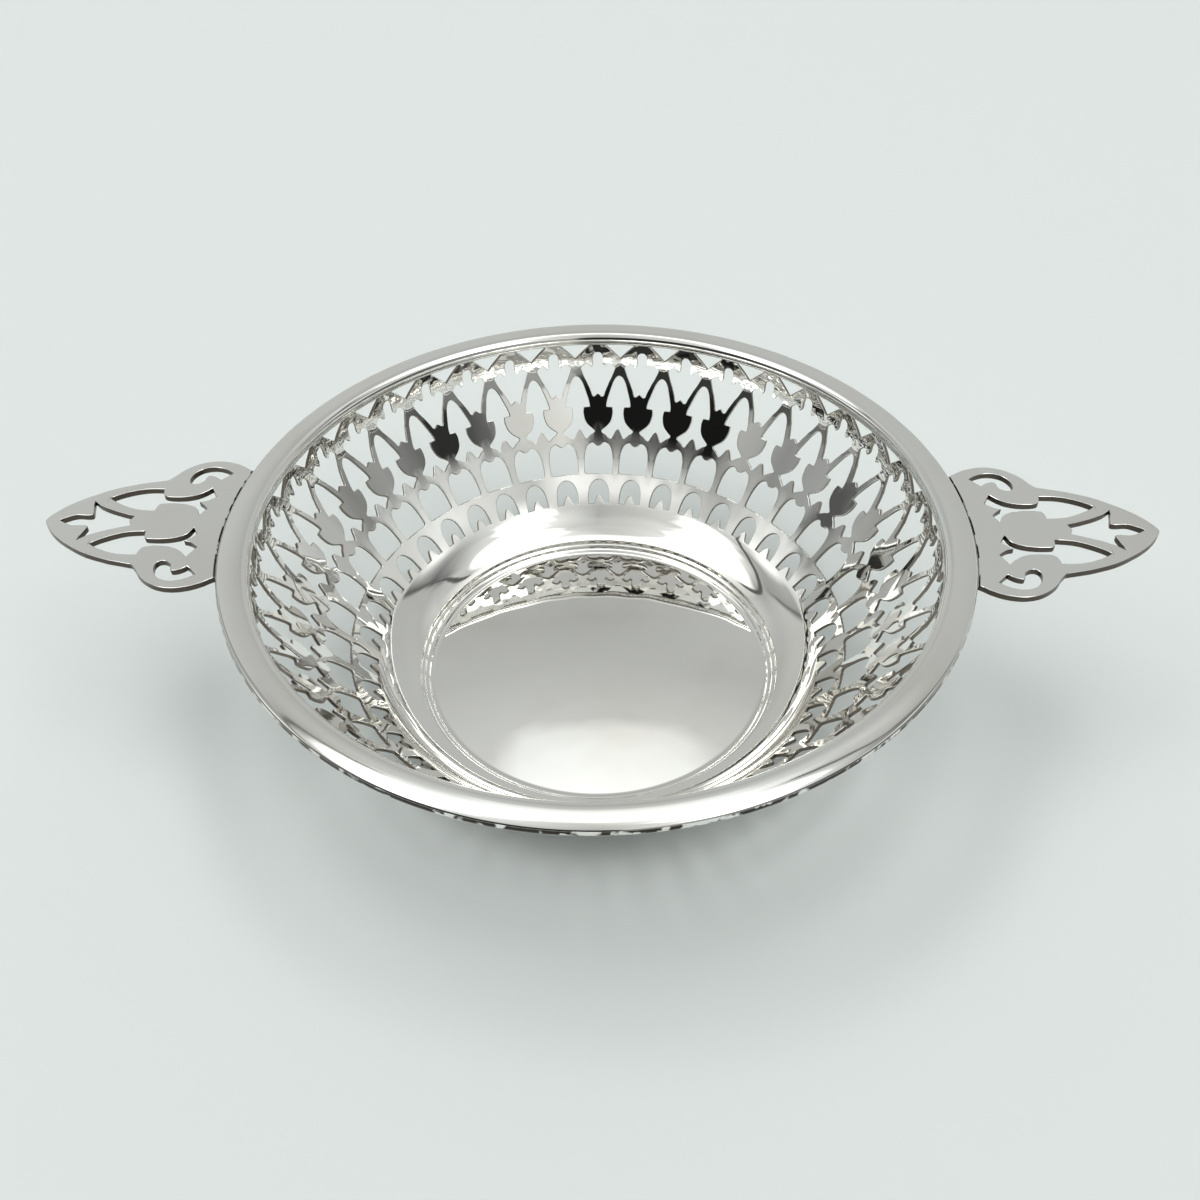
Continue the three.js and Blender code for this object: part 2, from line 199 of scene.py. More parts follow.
# The tent that the silver mirrors: lamps, cloth and cards, from its foot to its top. A ring has its height in
# degrees, then its brightness at so many degrees to the right of straight behind the bowl. Plain cloth is 0.4
# to 0.8 and up to 2 near a lamp, the lamps high on the left and on the right are 3 to 6, and dark card is
# 0.01 to 0.2.
TENT_RINGS = (
    (33, ((-180, 0.6), (-98, 0.8), (-84, 1.8), (-70, 0.5), (-58, 0.4), (-56, 0.15), (-53, 0.6), (62, 0.5),
          (65, 0.1), (74, 0.6), (88, 1.5), (102, 0.8), (180, 0.6))),
    (42, ((-180, 0.6), (-104, 0.7), (-90, 0.45), (-58, 0.4), (-56, 0.15), (-53, 0.6), (-3, 0.45), (14, 0.55),
          (62, 0.5), (64, 0.1), (68, 0.3), (90, 0.5), (118, 0.8), (180, 0.6))),
    (47, ((-180, 0.7), (-136, 0.8), (-122, 2.5), (-106, 2.0), (-90, 0.6), (-56, 0.35), (-50, 0.55),
          (58, 0.5), (62, 0.12), (90, 0.4), (120, 0.9), (136, 1.5), (150, 0.8), (180, 0.7))),
    (52.6, ((-180, 0.5), (-132, 0.8), (-110, 3.5), (-92, 2.5), (-79, 1.0), (-48, 0.4), (-22, 0.65),
            (24, 0.7), (50, 0.5), (58, 0.2), (112, 0.8), (124, 3.5), (144, 4.0), (154, 0.8), (180, 0.5))),
    (54, ((-180, 0.5), (-132, 0.8), (-110, 4.0), (-92, 3.5), (-80, 1.2), (-48, 0.4), (-15, 0.7),
          (-13, 0.95), (9, 0.95), (13, 0.7), (50, 0.5), (58, 0.2), (110, 0.9), (122, 4.0), (144, 4.5),
          (154, 0.8), (180, 0.5))),
    (62, ((-180, 0.5), (-118, 0.8), (-106, 2.5), (-90, 5.0), (-42, 4.5), (-28, 1.5), (16, 1.5), (28, 0.6),
          (102, 0.9), (114, 4.5), (136, 4.5), (146, 1.0), (180, 0.5))),
    (70, ((-180, 0.5), (-106, 1.0), (-88, 4.0), (-70, 6.0), (-42, 5.5), (-24, 1.8), (14, 2.0), (28, 5.5),
          (112, 5.5), (130, 1.2), (180, 0.5))),
    (76, ((-180, 0.6), (-60, 1.0), (-10, 0.7), (20, 1.1), (44, 4.0), (88, 4.5), (110, 1.1), (180, 0.6))),
    (84, ((-180, 0.6), (-82, 0.75), (-8, 0.65), (60, 0.85), (180, 0.6))),
    (90, ((-180, 0.65), (180, 0.65))),
)
# Below the rings, cards hang in rows along a line that climbs from 3 degrees up behind the bowl to 41 degrees
# up behind the camera, which is 26 - 19 cos(turn) - 4 cos(turn)^2. A row's height is counted from that line.
ROWS_LINE = (26, -19, -4)
# The urns of the pierced wall mirror this row, which hangs twice
CARD_ROW = ((-180, 0.01), (-127, 0.01), (-122, 0.5), (-104, 0.3), (-86, 0.4), (-82, 0.1), (-76, 0.1),
            (-70, 0.45), (65, 0.5), (77, 0.25), (90, 0.35), (109, 0.12), (113, 0.03), (122, 0.03),
            (134, 0.15), (142, 0.7), (171, 0.9), (174, 0.01), (180, 0.01))
TENT_ROWS = (
    (-4, ((-180, 0.03), (-125, 0.05), (-92, 0.2), (-45, 0.45), (54, 0.7), (90, 0.2), (117, 0.1),
          (132, 0.25), (171, 0.45), (174, 0.03), (180, 0.03))),
    (-1.5, CARD_ROW),
    (1.4, CARD_ROW),
    (3.2, ((-180, 0.3), (-148, 0.2), (-120, 0.4), (-91, 0.8), (-67, 0.9), (-52, 0.5), (50, 0.5),
           (65, 0.7), (130, 0.7), (147, 0.6), (163, 0.8), (180, 0.3))),
    (6, ((-180, 1.0), (-147, 1.1), (-118, 0.5), (-90, 1.4), (-67, 0.7), (50, 0.5), (101, 1.0),
         (146, 0.6), (162, 1.2), (180, 1.0))),
)
# Heights above the rows' line between which they give way to the rings
ROWS_END = (6.5, 9.0)
# Brightness that a full colour in the tent's ramps stands for
TENT_BRIGHTEST = 6.2
# Two dark cords in seams of the cloth: degrees to the right and degrees up
TENT_CORDS = (
    ((-103, 37), (-94, 42), (-80, 46.5), (-62, 50), (-46, 52.5), (-29, 57)),
    ((24, 60), (42, 58.5), (53, 56), (58, 53), (61, 49)),
)
# A cord's brightness, as a share of the brightest
CORD_SHARE = 0.02
# Degrees from the middle of a cord where its dark starts to fade, and where it ends
CORD_EDGE = (0.5, 1.3)


# Tools for shapes


def traced(runs, bend, flipped):
    """Closed outline through the drawn points, with a new point for each so many degrees of bend.

    flipped is the coordinate that a mirror line turns over.
    """
    outline = []
    for run in runs:
        points = [Vector(point) for point in run if point is not ROUND]
        before, after = points[0], points[-1]
        if run[0] is ROUND:
            before = points[1].copy()
            before[flipped] = 2 * points[0][flipped] - before[flipped]
        if run[-1] is ROUND:
            after = points[-2].copy()
            after[flipped] = 2 * points[-1][flipped] - after[flipped]
        chain = [before, *points, after]
        for previous, start, end, following in zip(chain, chain[1:], chain[2:], chain[3:]):
            leaving, arriving, chord = end - previous, following - start, end - start
            turned = max(leaving.angle(arriving), 2 * leaving.angle(chord), 2 * arriving.angle(chord))
            pieces = 1 if len(points) == 2 else max(1, math.ceil(turned / math.radians(bend)))
            outline += interpolate_bezier(
                start, start + leaving / 6, end - arriving / 6, end, pieces + 1)[:-1]
    return [point.to_2d() for point in outline]


def add_outline(bm, points):
    """Closed loop of edges in the plane z = 0."""
    corners = [bm.verts.new((point.x, point.y, 0.0)) for point in points]
    return [bm.edges.new((corner, corners[i - 1])) for i, corner in enumerate(corners)]


def add_section(bm, points, closed=True):
    """Section in the plane y = 0, given as radius and height."""
    corners = [bm.verts.new((point[0], 0.0, point[1])) for point in points]
    edges = [bm.edges.new(pair) for pair in zip(corners, corners[1:])]
    if closed:
        edges.append(bm.edges.new((corners[-1], corners[0])))
    return corners + edges


def cut_into_cells(bm, columns, rows):
    """Cuts a flat fill along straight lines, and clears the fill's own edges between them."""
    lines = [(0, place) for place in columns] + [(1, place) for place in rows]
    for axis, place in lines:
        normal = Vector((1, 0, 0)) if axis == 0 else Vector((0, 1, 0))
        bmesh.ops.bisect_plane(
            bm, geom=bm.verts[:] + bm.edges[:] + bm.faces[:], dist=CUT_GAP,
            plane_co=normal * place, plane_no=normal)

    def on_line(edge):
        return any(
            all(abs(vert.co[axis] - place) < LINE_GAP for vert in edge.verts) for axis, place in lines)

    spare = [edge for edge in bm.edges if len(edge.link_faces) == 2 and not on_line(edge)]
    bmesh.ops.dissolve_edges(bm, edges=spare, use_verts=False)
    between = [vert for vert in bm.verts if len(vert.link_edges) == 2
               and all(len(edge.link_faces) == 2 for edge in vert.link_edges)]
    bmesh.ops.dissolve_verts(bm, verts=between)


def is_cut_side(face):
    """Whether a face of a flat plate is one of its upright sides."""
    return abs(face.normal.z) < 0.5


def lies_in_plane(face, axis, place):
    """Whether a whole face lies at one place along an axis."""
    return all(abs(vert.co[axis] - place) < PLANE_GAP for vert in face.verts)


def is_rim_of_cut(edge):
    """Whether a cut side meets a level face of a flat plate along this edge."""
    start, end = (vert.co for vert in edge.verts)
    level = abs(start.z - end.z) < PLANE_GAP
    return len(edge.link_faces) == 2 and level and edge.calc_face_angle(0.0) > math.radians(60)


def revolve(bm, geometry, steps):
    """Full turn of a section about the upright axis."""
    bmesh.ops.spin(
        bm, geom=geometry, cent=(0, 0, 0), axis=(0, 0, 1), angle=math.tau, steps=steps, use_merge=True)


def finished_piece(bm, name, node, materials, crease):
    """Writes the millimetre model as a piece in metres that stands for a node of the frame.

    crease is the angle between two faces from which their edge stays sharp.
    """
    bmesh.ops.recalc_face_normals(bm, faces=bm.faces)
    for face in bm.faces:
        face.smooth = True
    for edge in bm.edges:
        edge.smooth = len(edge.link_faces) != 2 or edge.calc_face_angle(0.0) < crease
    bmesh.ops.scale(bm, vec=(MM, MM, MM), verts=bm.verts)
    mesh = bpy.data.meshes.new(name)
    bm.to_mesh(mesh)
    bm.free()
    for material in materials:
        mesh.materials.append(bpy.data.materials[material])
    piece = bpy.data.objects.new(name, mesh)
    bpy.context.scene.collection.objects.link(piece)
    # Flat faces keep their own normals, and the rounded edges between them turn smoothly. Faces are weighed
    # by their corner angles, because areas in square metres are too small for the modifier to count.
    even = piece.modifiers.new("Even_normals", "WEIGHTED_NORMAL")
    even.mode = "CORNER_ANGLE"
    even.keep_sharp = True
    even.use_face_influence = True
    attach(piece, "root")
    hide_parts(node)


# Materials


def linear(hex_colour):
    """Linear RGB of an sRGB hex colour."""
    channels = [int(hex_colour[i:i + 2], 16) / 255 for i in (1, 3, 5)]
    return [c / 12.92 if c <= 0.04045 else ((c + 0.055) / 1.055) ** 2.4 for c in channels]


def add_node(tree, kind, inputs=None, **settings):
    """Adds a node with its settings; an input given as a socket is linked, any other value is set."""
    node = tree.nodes.new(kind)
    for name, value in settings.items():
        setattr(node, name, value)
    for name, value in (inputs or {}).items():
        if isinstance(value, bpy.types.NodeSocket):
            tree.links.new(value, node.inputs[name])
        else:
            node.inputs[name].default_value = value
    return node


def new_material(name):
    """Empty material and its node tree."""
    material = bpy.data.materials.new(name)
    material.use_nodes = True
    material.node_tree.nodes.clear()
    return material, material.node_tree


def silver_material(name, clean, dull, roughness, marks, crinkle=0.0):
    """Silver as a revolved and hand-polished metal.

    Sterling silver, raised or drawn, buffed round its axis and then kept polished. It mirrors the room
    with soft edges. Fine hairlines run round the axis, the sheet waves a little under the light, and
    light sulphur tarnish warms it in clouds a few centimetres wide. Black sulphide stays in pits. Along
    the solder at the handles a broken dark line is partly black sulphide and partly painted shade in the
    gap between handle and rim. marks is the strength of the hairlines, and crinkle the height in mm of the
    ripples where the wall was bent in under the rim.
    """
    material, tree = new_material(name)
    place = add_node(tree, "ShaderNodeTexCoord").outputs["Object"]
    # Where a point lies round the axis: distance out and height in metres, and the turn as an angle
    apart = add_node(tree, "ShaderNodeSeparateXYZ", {"Vector": place})
    out = add_node(tree, "ShaderNodeVectorMath", {0: place, 1: (1, 1, 0)}, operation="MULTIPLY")
    radius = add_node(tree, "ShaderNodeVectorMath", {0: out.outputs[0]}, operation="LENGTH").outputs["Value"]
    turn = add_node(
        tree, "ShaderNodeMath", {0: apart.outputs["Y"], 1: apart.outputs["X"]}, operation="ARCTAN2")
    round_axis = add_node(
        tree, "ShaderNodeCombineXYZ", {"X": radius, "Y": turn.outputs[0], "Z": apart.outputs["Z"]})

    clouds = add_node(
        tree, "ShaderNodeTexNoise", {"Vector": place, "Scale": 1 / (25 * MM), "Detail": 4.0})
    cloud_amount = add_node(
        tree, "ShaderNodeMapRange",
        {"Value": clouds.outputs["Fac"], "From Min": 0.45, "From Max": 0.75, "To Min": 0.0, "To Max": 0.35})
    colour = add_node(
        tree, "ShaderNodeMix",
        {0: cloud_amount.outputs[0], 6: (*clean, 1), 7: (*dull, 1)}, data_type="RGBA")
    # The black marks are black sulphide in pits and, along the solder, partly sulphide and partly painted
    # shade
    grime_and_shade = (*bpy.context.scene.bowl_silver.grime_and_shade, 1)
    marked = add_node(
        tree, "ShaderNodeMix", {0: black_marks_and_seam_shade(tree, place, radius), 6: colour.outputs[2], 7: grime_and_shade},
        data_type="RGBA")
    rough = add_node(
        tree, "ShaderNodeMapRange",
        {"Value": clouds.outputs["Fac"], "From Min": 0.3, "From Max": 0.7,
         "To Min": roughness * 0.8, "To Max": roughness * 1.3})

    bump = hand_waves(tree, place)
    if crinkle:
        bump = bent_ripples(tree, place, apart.outputs["Z"], crinkle, bump)
    bump = hairlines(tree, round_axis.outputs[0], marks, bump)
    shader = add_node(
        tree, "ShaderNodeBsdfPrincipled",
        {"Base Color": marked.outputs[2], "Metallic": 1.0, "Roughness": rough.outputs[0], "Normal": bump})
    add_node(tree, "ShaderNodeOutputMaterial", {"Surface": shader.outputs[0]})


def black_marks_and_seam_shade(tree, place, radius):
    """How much black covers the silver: black sulphide in pits, and along the solder a dark line that is
    partly sulphide and partly painted shade in the gap between handle and rim; else none.
    """
    # Pits 0.3 mm wide, one in every second cell of 8 mm
    cells = add_node(
        tree, "ShaderNodeTexVoronoi", {"Vector": place, "Scale": 1 / (8 * MM), "Randomness": 1.0})
    pit = add_node(
        tree, "ShaderNodeMapRange", {"Value": cells.outputs["Distance"], "From Min": 0.03, "From Max": 0.018})
    cell = add_node(tree, "ShaderNodeSeparateXYZ", {"Vector": cells.outputs["Color"]})
    pitted = add_node(
        tree, "ShaderNodeMapRange", {"Value": cell.outputs["X"], "From Min": 0.5, "From Max": 0.8})
    pits = add_node(tree, "ShaderNodeMath", {0: pit.outputs[0], 1: pitted.outputs[0]}, operation="MULTIPLY")
    # Along the solder a broken dark line 0.3 mm wide, in runs of about 2 mm, lies just outside the rim:
    # partly black sulphide, partly painted shade in the gap between handle and rim
    seam_radius = RIM_BOX[1].x + SEAT_GAP * MM
    past_rim = add_node(tree, "ShaderNodeMath", {0: radius, 1: seam_radius}, operation="SUBTRACT")
    off_seam = add_node(tree, "ShaderNodeMath", {0: past_rim.outputs[0]}, operation="ABSOLUTE")
    near_seam = add_node(
        tree, "ShaderNodeMapRange",
        {"Value": off_seam.outputs[0], "From Min": 0.26 * MM, "From Max": 0.16 * MM})
    breaks = add_node(
        tree, "ShaderNodeTexNoise", {"Vector": place, "Scale": 1 / (2 * MM), "Detail": 2.0})
    broken = add_node(
        tree, "ShaderNodeMapRange", {"Value": breaks.outputs["Fac"], "From Min": 0.42, "From Max": 0.5})
    seam = add_node(
        tree, "ShaderNodeMath", {0: near_seam.outputs[0], 1: broken.outputs[0]}, operation="MULTIPLY")
    dark = add_node(tree, "ShaderNodeMath", {0: pits.outputs[0], 1: seam.outputs[0]}, operation="MAXIMUM")
    return dark.outputs[0]


def hand_waves(tree, place):
    """Waves left by the hammer and the buff, about 7 mm across."""
    waves = add_node(
        tree, "ShaderNodeTexNoise", {"Vector": place, "Scale": 1 / (7 * MM), "Detail": 1.0})
    bump = add_node(
        tree, "ShaderNodeBump", {"Height": waves.outputs["Fac"], "Strength": 1.0, "Distance": 0.02 * MM})
    return bump.outputs[0]


def bent_ripples(tree, place, height, crinkle, under):
    """Ripples about 2.5 mm across, which fade out from 5.5 to 8.5 mm below the crown of the rim."""
    ripples = add_node(
        tree, "ShaderNodeTexNoise", {"Vector": place, "Scale": 1 / (2.5 * MM), "Detail": 0.8})
    bent = add_node(
        tree, "ShaderNodeMapRange",
        {"Value": height, "From Min": RIM_BOX[1].z - 8.5 * MM, "From Max": RIM_BOX[1].z - 5.5 * MM})
    bump = add_node(
        tree, "ShaderNodeBump",
        {"Height": ripples.outputs["Fac"], "Strength": bent.outputs[0], "Distance": crinkle * MM,
         "Normal": under})
    return bump.outputs[0]


def hairlines(tree, round_axis, marks, under):
    """Hairlines left by the buff round the axis, drawn coarser than real so that they show."""
    # To the metre out and up, and to the radian round: about 0.15 mm wide and 9 mm long
    counts = (6000, 6, 6000)
    stretched = add_node(tree, "ShaderNodeVectorMath", {0: round_axis, 1: counts}, operation="MULTIPLY")
    lines = add_node(
        tree, "ShaderNodeTexNoise", {"Vector": stretched.outputs[0], "Scale": 1.0, "Detail": 3.0})
    bump = add_node(
        tree, "ShaderNodeBump",
        {"Height": lines.outputs["Fac"], "Strength": marks, "Distance": 0.004 * MM, "Normal": under})
    return bump.outputs[0]


# Sizes and colours


def length(name, description, millimetres):
    """Length that a user can change, in metres, with its default in millimetres."""
    return FloatProperty(
        name=name, description=description, default=millimetres * MM, min=0.0, precision=5, unit="LENGTH")


class BowlSizes(bpy.types.PropertyGroup):
    """Sizes of the raised and pierced sheet"""

    sheet: length("Sheet", "Thickness of the raised silver", 0.6)
    wall_radius: length("Wall radius", "Inner face at the top edge of the wall", 53.0)
    wall_top: length("Wall top", "Depth of the wall's top edge below the crown of the rim", 1.5)
    collar: length("Collar", "Upright stretch under the rim", 2.0)
    shoulder: length("Shoulder", "Radius over which the wall turns in", 10.0)
    wall_slope: FloatProperty(
        name="Wall slope", description="Slope of the pierced wall, halfway down", default=math.radians(50),
        subtype="ANGLE")
    wall_hollow: FloatProperty(
        name="Wall hollow", description="How much steeper the wall is at its top, and flatter at its foot",
        default=math.radians(4), min=math.radians(0.1), subtype="ANGLE")
    pierced: length("Pierced length", "Length of the pierced wall along the sheet", 31.0)
    band_round: length("Band round", "Radius of the hollow plain band below the wall", 12.2)
    band_slope: FloatProperty(
        name="Band slope", description="Slope of the plain band where it meets the step",
        default=math.radians(13), subtype="ANGLE")
    base_radius: length("Base radius", "Where the plain band ends at the step", 30.2)
    step_depth: length("Step depth", "From the plain band down to the well", 1.65)
    step_width: length("Step width", "Width of the two small steps", 1.6)
    well_rise: length("Well rise", "How far the middle of the well stands above its edge", 0.8)
    cut_edge: length("Cut edge", "How far buffing has rounded the pierced edges", 0.09)
    repeats: IntProperty(name="Repeats", description="Repeats round the wall", default=40, min=3)
    turn: FloatProperty(
        name="Turn", description="How far the first urn stands round from the handles",
        default=math.radians(1.4), subtype="ANGLE")


class HandleSizes(bpy.types.PropertyGroup):
    """Sizes of the two handles"""

    thickness: length("Thickness", "Thickness of the pierced plate", 1.0)
    edge: length("Edge", "How far the edges of the plate are rounded", 0.11)


class SilverColours(bpy.types.PropertyGroup):
    """Colours of the silver, its tarnish and its cut sides; the cut sides' dark is partly tarnish and partly
    painted dark reflection, and the dark at the solder is partly painted shade
    """

    silver: FloatVectorProperty(
        name="Silver", description="Clean polished silver", size=3, subtype="COLOR", min=0, max=1,
        default=linear("#F1F0ED"))
    tarnish: FloatVectorProperty(
        name="Tarnish", description="Silver with a first film of tarnish", size=3, subtype="COLOR",
        min=0, max=1, default=linear("#DDD5C6"))
    # The saw cuts' dark is partly tarnish and partly painted dark reflection
    sawn_tarnish_and_dark_reflection: FloatVectorProperty(
        name="Saw cuts", description="Tarnished silver of the saw cuts, which no cloth reaches", size=3,
        subtype="COLOR", min=0, max=1, default=linear("#948D83"))
    # The handles' cut sides are darker still: partly tarnish, partly painted dark reflection
    filed_tarnish_and_dark_reflection: FloatVectorProperty(
        name="Filed edges", description="Silver on the filed and tarnished edges of the handles", size=3,
        subtype="COLOR", min=0, max=1, default=linear("#5A534C"))
    # Dark of the pits (black sulphide), of the line along the solder (sulphide and painted shade), and of the
    # clouds on the cut sides (tarnish and painted dark reflection)
    grime_and_shade: FloatVectorProperty(
        name="Grime", description="Black sulphide in pits and solder, and clouding the cut sides", size=3,
        subtype="COLOR", min=0, max=1, default=linear("#38332D"))


class StudioSettings(bpy.types.PropertyGroup):
    """The pale floor and the light"""

    floor: FloatVectorProperty(
        name="Floor", description="Pale floor and backdrop", size=3, subtype="COLOR", min=0, max=1,
        default=linear("#E0E4E3"))
    cloth: FloatVectorProperty(
        name="Cloth", description="Cloth of the tent that the silver mirrors", size=3, subtype="COLOR", min=0,
        max=1, default=linear("#FCFFFD"))
    light: FloatProperty(
        name="Light", description="Brightness of the tent's cloth", default=1.0, min=0.0, subtype="FACTOR")
    reach: FloatProperty(
        name="Reach", description="Radius of the tent", default=3.0, min=0.5, unit="LENGTH")
    floor_reach: FloatProperty(
        name="Floor reach", description="Radius of the floor", default=1.3, min=0.5, unit="LENGTH")


# Pieces


class SILVER_OT_bowl_body(bpy.types.Operator):
    """Build the raised sheet: pierced wall, plain band, stepped seat and well"""

    bl_idname = "silver.bowl_body"
    bl_label = "Bowl body"

    def execute(self, context):
        sizes = context.scene.bowl_sizes
        crown = RIM_BOX[1].z / MM
        pitch = math.tau / sizes.repeats
        bm = flat_repeat()
        bend_onto_wall(bm, sizes, crown)
        bmesh.ops.spin(
            bm, geom=bm.verts[:] + bm.edges[:] + bm.faces[:], cent=(0, 0, 0), axis=(0, 0, 1),
            angle=math.tau - pitch, steps=sizes.repeats - 1, use_duplicate=True)
        base = turned_base(sizes, crown)
        bm.from_mesh(base)
        bpy.data.meshes.remove(base)
        bmesh.ops.remove_doubles(bm, verts=bm.verts, dist=WELD_GAP)
        bmesh.ops.recalc_face_normals(bm, faces=bm.faces)
        bmesh.ops.bevel(
            bm, geom=[edge for edge in bm.edges if edge.seam], offset=sizes.cut_edge / MM, affect="EDGES",
            segments=1, profile=0.5, material=-1, face_strength_mode="ALL")
        finished_piece(
            bm, "pierced_body", "bowl_body", ("polished_silver", "sawn_tarnish_dark_reflection"),
            crease=math.radians(50))
        return {"FINISHED"}


def flat_repeat():
    """One repeat of the wall as a flat plate, open where it meets its neighbours and the plain band.

    Its saw-cut sides have the second material, whose dark is partly tarnish and partly painted dark
    reflection, and the edges that buffing rounds are marked as seams.
    """
    bm = bmesh.new()
    outline = traced(HALF_REPEAT, bend=15, flipped=0)
    bmesh.ops.triangle_fill(bm, edges=add_outline(bm, outline), use_beauty=True)
    cut_into_cells(bm, CELL_COLUMNS, CELL_ROWS)
    bmesh.ops.recalc_face_normals(bm, faces=bm.faces)
    bmesh.ops.solidify(bm, geom=bm.faces[:], thickness=1.0)
    joins = ((0, 0.0), (0, REPEAT_DEGREES / 2), (1, REPEAT_LENGTH))
    open_sides = [face for face in bm.faces if is_cut_side(face)
                  and any(lies_in_plane(face, axis, place) for axis, place in joins)]
    bmesh.ops.delete(bm, geom=open_sides, context="FACES")
    for face in bm.faces:
        face.material_index = int(is_cut_side(face))
    for edge in bm.edges:
        edge.seam = is_rim_of_cut(edge)
    bmesh.ops.mirror(bm, geom=bm.verts[:] + bm.edges[:] + bm.faces[:], axis="X", merge_dist=PLANE_GAP)
    return bm


def bend_onto_wall(bm, sizes, crown):
    """Bends the flat repeat onto the wall, with its thickness outward."""
    sheet = sizes.sheet / MM
    pitch = math.tau / sizes.repeats
    lowest = min(vert.co.z for vert in bm.verts)
    for vert in bm.verts:
        angle = sizes.turn + vert.co.x / REPEAT_DEGREES * pitch
        along = vert.co.y / REPEAT_LENGTH * sizes.pierced / MM
        radius, height = wall_place(sizes, along, (vert.co.z - lowest) * sheet)
        vert.co = (radius * math.cos(angle), radius * math.sin(angle), crown + height)


def turned_base(sizes, crown):
    """Mesh of the sheet below the pattern, made apart, because a spin that merges is slow in a large mesh."""
    bm = bmesh.new()
    for face in (inner_base(sizes), outer_base(sizes)):
        section = add_section(bm, [(r, crown + z) for r, z in face], closed=False)
        bmesh.ops.rotate(
            bm, verts=section[:len(face)], cent=(0, 0, 0), matrix=Matrix.Rotation(sizes.turn, 3, "Z"))
        revolve(bm, section, CELLS_ACROSS * sizes.repeats)
    mesh = bpy.data.meshes.new("turned_base")
    bm.to_mesh(mesh)
    bm.free()
    return mesh


def wall_place(sizes, along, depth):
    """Radius and height from the crown, at a distance down the pierced wall and a depth into the sheet."""
    collar, shoulder = sizes.collar / MM, sizes.shoulder / MM
    top, foot = sizes.wall_slope + sizes.wall_hollow, sizes.wall_slope - sizes.wall_hollow
    full_turn = math.pi / 2 - top
    turned = min(max((along - collar) / shoulder, 0.0), full_turn)
    length_left = sizes.pierced / MM - collar - shoulder * full_turn
    hollow = length_left / (top - foot)
    share = max(along - collar - shoulder * full_turn, 0.0) / length_left
    slope = top + (foot - top) * share
    inward = shoulder * (1 - math.cos(turned)) + hollow * (math.sin(top) - math.sin(slope))
    down = min(along, collar) + shoulder * math.sin(turned) + hollow * (math.cos(slope) - math.cos(top))
    facing = slope if turned == full_turn else math.pi / 2 - turned
    return (
        sizes.wall_radius / MM - inward + depth * math.sin(facing),
        -sizes.wall_top / MM - down - depth * math.cos(facing))


def band(sizes, depth):
    """The plain band as an arc from the foot of the wall to the step, at a depth into the sheet."""
    radius, height = wall_place(sizes, sizes.pierced / MM, 0.0)
    hollow = sizes.band_round / MM
    foot = sizes.wall_slope - sizes.wall_hollow
    arc = []
    for i in range(BAND_POINTS):
        slope = foot + (sizes.band_slope - foot) * i / (BAND_POINTS - 1)
        arc.append((
            radius - hollow * (math.sin(foot) - math.sin(slope)) + depth * math.sin(slope),
            height - hollow * (math.cos(slope) - math.cos(foot)) - depth * math.cos(slope)))
    return arc


def step_top(sizes):
    """Radius and height where the plain band ends at the step."""
    radius, height = band(sizes, 0.0)[-1]
    base = sizes.base_radius / MM
    return base, height - (radius - base) * math.tan(sizes.band_slope)


def inner_base(sizes):
    """Inner face below the pattern: plain band, two small rounded steps and the well."""
    radius, height = step_top(sizes)
    depth, width = sizes.step_depth / MM, sizes.step_width / MM
    steps = [(radius - inward * width, height - down * depth) for inward, down in STEP_SECTION]
    floor = [(r, height - depth + rise) for r, rise in well(sizes, steps[-1][0])]
    return band(sizes, 0.0) + steps + floor


def well(sizes, edge):
    """Radii across the well and heights above its edge, of a shallow cone with a domed middle."""
    places = []
    for share in WELL_RINGS:
        cone = 1 - max(share, WELL_DOME)
        dome = (WELL_DOME ** 2 - min(share, WELL_DOME) ** 2) / (2 * WELL_DOME)
        places.append((edge * share, sizes.well_rise / MM * (cone + dome) / (1 - WELL_DOME / 2)))
    return places


def outer_base(sizes):
    """Outer face below the pattern: plain band, one soft slope behind the two steps, and the well."""
    sheet = sizes.sheet / MM
    radius, height = step_top(sizes)
    depth, width = sizes.step_depth / MM, sizes.step_width / MM
    floor = height - depth - sheet
    outer_band = [place for place in band(sizes, sheet) if place[0] > radius + sheet * 0.75]
    slope = [
        (radius + sheet * 0.6, height - sheet * 1.15),
        (radius + sheet * 0.4, height - depth * 0.55 - sheet * 0.7),
        (radius - width * 0.4, floor + 0.25),
        (radius - width + sheet * 0.6, floor + 0.02),
        (radius - width, floor),
    ]
    return outer_band + slope + [(r, floor + rise) for r, rise in well(sizes, radius - width)]


class SILVER_OT_rim_moulding(bpy.types.Operator):
    """Build the rim: flat top, round inner shoulder, bead and turned-down edge"""

    bl_idname = "silver.rim_moulding"
    bl_label = "Rim moulding"

    def execute(self, context):
        crown = RIM_BOX[1].z / MM
        bm = bmesh.new()
        section = [(point.x, crown + point.y) for point in traced(RIM_SECTION, bend=12, flipped=0)]
        revolve(bm, add_section(bm, section), steps=240)
        bmesh.ops.remove_doubles(bm, verts=bm.verts, dist=WELD_GAP)
        finished_piece(
            bm, "rim_wire", "rim_moulding", ("rubbed_silver",), crease=math.radians(40))
        return {"FINISHED"}


class SILVER_OT_foot_ring(bpy.types.Operator):
    """Build the foot ring with its cove and toe"""

    bl_idname = "silver.foot_ring"
    bl_label = "Foot ring"

    def execute(self, context):
        bm = bmesh.new()
        section = traced(FOOT_SECTION, bend=12, flipped=0)
        revolve(bm, add_section(bm, section), steps=200)
        bmesh.ops.remove_doubles(bm, verts=bm.verts, dist=WELD_GAP)
        finished_piece(
            bm, "foot_collet", "foot_ring", ("rubbed_silver",), crease=math.radians(40))
        return {"FINISHED"}


